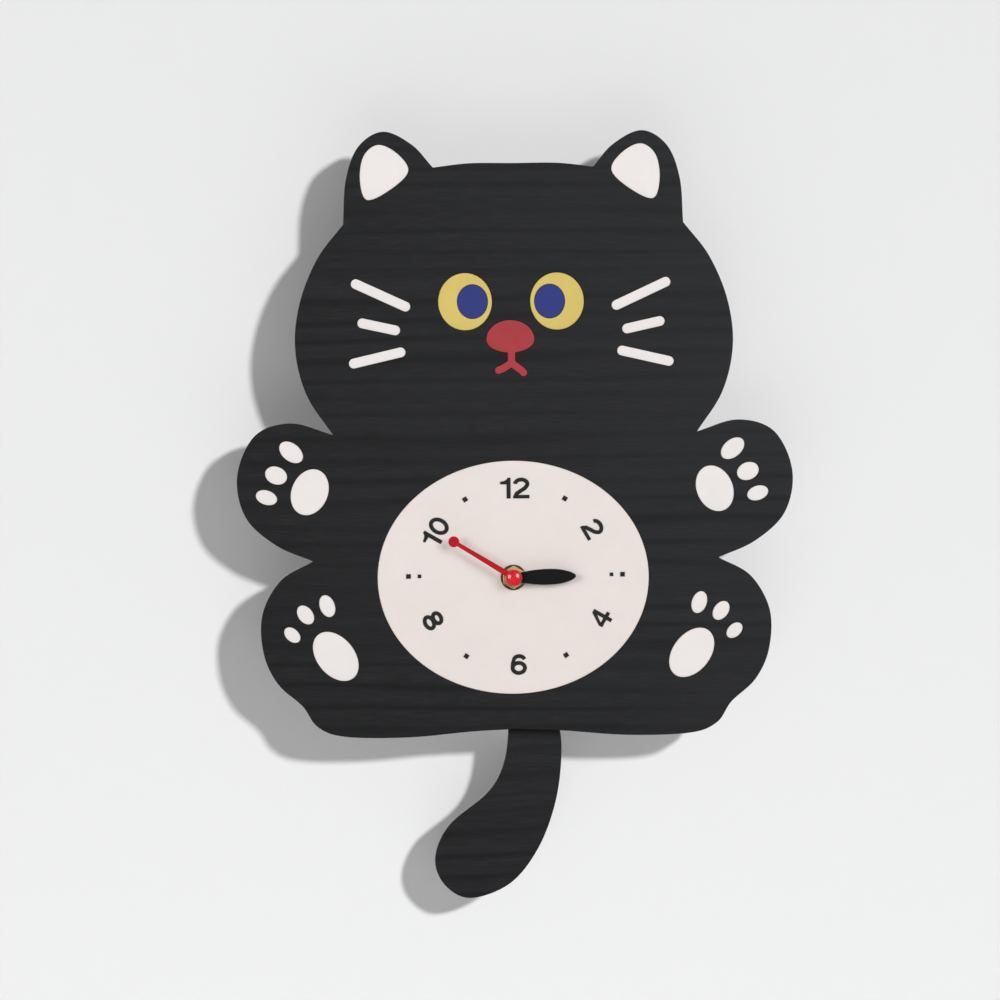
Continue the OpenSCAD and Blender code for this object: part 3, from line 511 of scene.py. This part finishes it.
def pale_paint(name, albedo, one_sided=False):
    """Matt wall paint; a one-sided one can be looked through from its back."""
    g = Graph(name, roughness=0.9, specular=0.1)
    g.set("Base Color", (albedo, albedo, albedo))
    if one_sided:
        output = next(n for n in g.tree.nodes if n.type == "OUTPUT_MATERIAL")
        clear = g.add("ShaderNodeBsdfTransparent")
        choice = g.add("ShaderNodeMixShader")
        g.feed(choice.inputs[0], g.add("ShaderNodeNewGeometry").outputs["Backfacing"])
        g.feed(choice.inputs[1], g.shader.outputs[0])
        g.feed(choice.inputs[2], clear.outputs[0])
        g.feed(output.inputs["Surface"], choice.outputs[0])
    return g.material


WALL_GAP = 0.2 * MM
FLOOR_Z = -1.2
wall = make_plane("wall", Vector((0, WALL_Y + WALL_GAP, 0)), Vector((2.5, 0, 0)),
                  Vector((0, 0, 1.5)), pale_paint("wall_paint", 0.80, one_sided=True))
wall.visible_shadow = False
floor = make_plane("floor", Vector((0, 0, FLOOR_Z)), Vector((4, 0, 0)), Vector((0, 4, 0)),
                   pale_paint("floor_paint", 0.72))
floor.visible_glossy = False


# ---------------------------------------------------------------- light
def aim(piece, target):
    piece.rotation_mode = "QUATERNION"
    piece.rotation_quaternion = (target - piece.location).to_track_quat("-Z", "Y")


def softbox(name, place, size, power, colour=(1, 1, 1), receivers=None):
    """An area light aimed at the clock; receivers limits what it falls on."""
    data = bpy.data.lights.new(name, "AREA")
    data.shape = "RECTANGLE"
    data.size, data.size_y = size
    data.energy = power
    data.color = colour
    lamp = bpy.data.objects.new(name, data)
    lamp.location = place
    bpy.context.scene.collection.objects.link(lamp)
    aim(lamp, CLOCK_CENTRE)
    if receivers is not None:
        lamp.light_linking.receiver_collection = receivers
    return lamp


def sun(name, direction, energy, width, shadow, receivers):
    """A distant light, width degrees across, that falls only on receivers."""
    data = bpy.data.lights.new(name, "SUN")
    data.energy = energy
    data.angle = math.radians(width)
    data.use_shadow = shadow
    lamp = bpy.data.objects.new(name, data)
    bpy.context.scene.collection.objects.link(lamp)
    lamp.rotation_mode = "QUATERNION"
    lamp.rotation_quaternion = direction.normalized().to_track_quat("-Z", "Y")
    lamp.light_linking.receiver_collection = receivers
    return lamp


def light_group(name, *pieces):
    """A collection for light linking; it isn't part of the scene."""
    group = bpy.data.collections.new(name)
    for piece in pieces:
        group.objects.link(piece)
    return group


only_wall = light_group("only_wall", wall)
not_on_wall = light_group("not_on_wall", wall)
not_on_wall.collection_objects[0].light_linking.link_state = "EXCLUDE"
only_boards = light_group("only_boards", nodes["fascia_board"], nodes["tail"])

WARM = (1.0, 0.985, 0.97)
SOFT_WARM = (1.0, 0.98, 0.95)
COOL = (0.955, 0.98, 1.0)
SHEEN_COLOUR = (0.95, 0.97, 1.0)
softbox("softbox_left", Vector((-1.45, -1.45, 0.2)), (1.0, 1.1), 20.5, WARM, not_on_wall)
softbox("softbox_right", Vector((1.2, -1.5, 0.5)), (1.0, 1.1), 23, COOL, not_on_wall)
front = softbox("softbox_front", Vector((-0.3, -2.4, 0.15)), (0.5, 0.5), 3, SOFT_WARM,
                not_on_wall)
front.visible_glossy = False
# a low light whose sheen grows over the stained boards towards the right
sheen = softbox("softbox_sheen", Vector((0.75, -1.2, 0.05)), (0.5, 0.7), 12, SHEEN_COLOUR,
                only_boards)
sheen.visible_diffuse = False
softbox("softbox_back", Vector((-0.9, 1.7, 0.9)), (1.2, 1.2), 42)
softbox("softbox_back_low", Vector((1.4, 1.4, 0.1)), (1.0, 1.0), 20)

# the key sun throws the clock's shadow down and to the left; the fill evens the wall out
SHADOW_STEP = Vector((-20.3, 25.0, -12.8))
sun("wall_key", SHADOW_STEP, 2.62, 5, True, only_wall)
sun("wall_fill", Vector((0, 1, 0)), 0.58, 1, False, only_wall)

world = bpy.data.worlds.new("studio")
world.use_nodes = True
background = world.node_tree.nodes["Background"]
background.inputs["Color"].default_value = (0.92, 0.94, 1.0, 1)
background.inputs["Strength"].default_value = 0.12
bpy.context.scene.world = world
bpy.context.scene.view_settings.view_transform = "Standard"
bpy.context.scene.view_settings.look = "None"


# ---------------------------------------------------------------- camera
# metres seen across the picture, and metres to the front of the clock
FIELD = 0.5
DISTANCE = 2.2
AZIMUTH = math.radians(-2.5)
ELEVATION = math.radians(1.5)
ROLL = math.radians(-0.5)
SENSOR = 36.0
view_centre = Vector((ARBOR.x - 6.4 * MM, FRONT_Y, ARBOR.z + 38.8 * MM))
towards_camera = Vector((math.sin(AZIMUTH) * math.cos(ELEVATION),
                         -math.cos(AZIMUTH) * math.cos(ELEVATION),
                         math.sin(ELEVATION)))
camera_data = bpy.data.cameras.new("camera")
camera_data.sensor_width = SENSOR
camera_data.lens = SENSOR * DISTANCE / FIELD
camera = bpy.data.objects.new("camera", camera_data)
bpy.context.scene.collection.objects.link(camera)
camera.location = view_centre + towards_camera * DISTANCE
camera.rotation_mode = "QUATERNION"
turn = (-towards_camera).to_track_quat("-Z", "Y")
camera.rotation_quaternion = turn @ Matrix.Rotation(ROLL, 3, "Z").to_quaternion()
camera_data.clip_end = 20
bpy.context.scene.camera = camera
